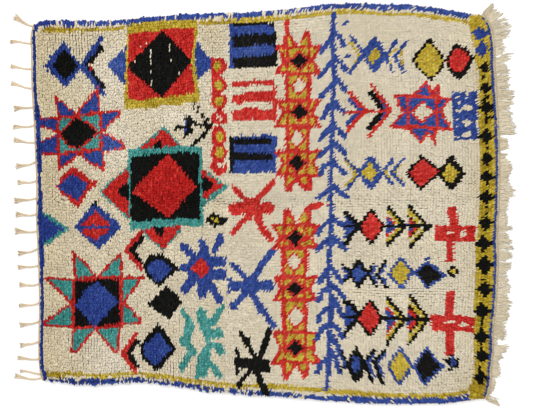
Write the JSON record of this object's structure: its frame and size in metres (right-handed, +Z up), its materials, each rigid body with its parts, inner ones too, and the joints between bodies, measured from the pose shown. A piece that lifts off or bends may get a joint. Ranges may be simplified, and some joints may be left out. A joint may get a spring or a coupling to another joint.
{
  "type": "moroccan rug",
  "caption": "Flat wool pile rug with geometric motifs, tasselled cords along one end and a loose warp fringe along the other.",
  "frame": {"origin": "on the floor, at the middle of the box that the rug fills with its tassels and fringe", "axes": "+X along the warps, from the tasselled end to the fringed end; +Y across the rug; +Z up, out of the pile"},
  "size_m": [2.0184, 1.6048, 0.0226],
  "materials": {
    "pile_wool": "knotted wool pile, matt, cream ground with dyed motifs",
    "tassel_yarn": "undyed tan wool cords with brushed ends, matt",
    "fringe_yarn": "flat woven strip and loose warp ends, undyed wool, matt"
  },
  "bodies": {
    "root": {"rug_field": "pile_wool", "tassel_end": "tassel_yarn", "fringe_end": "fringe_yarn"}
  },
  "joints": []
}
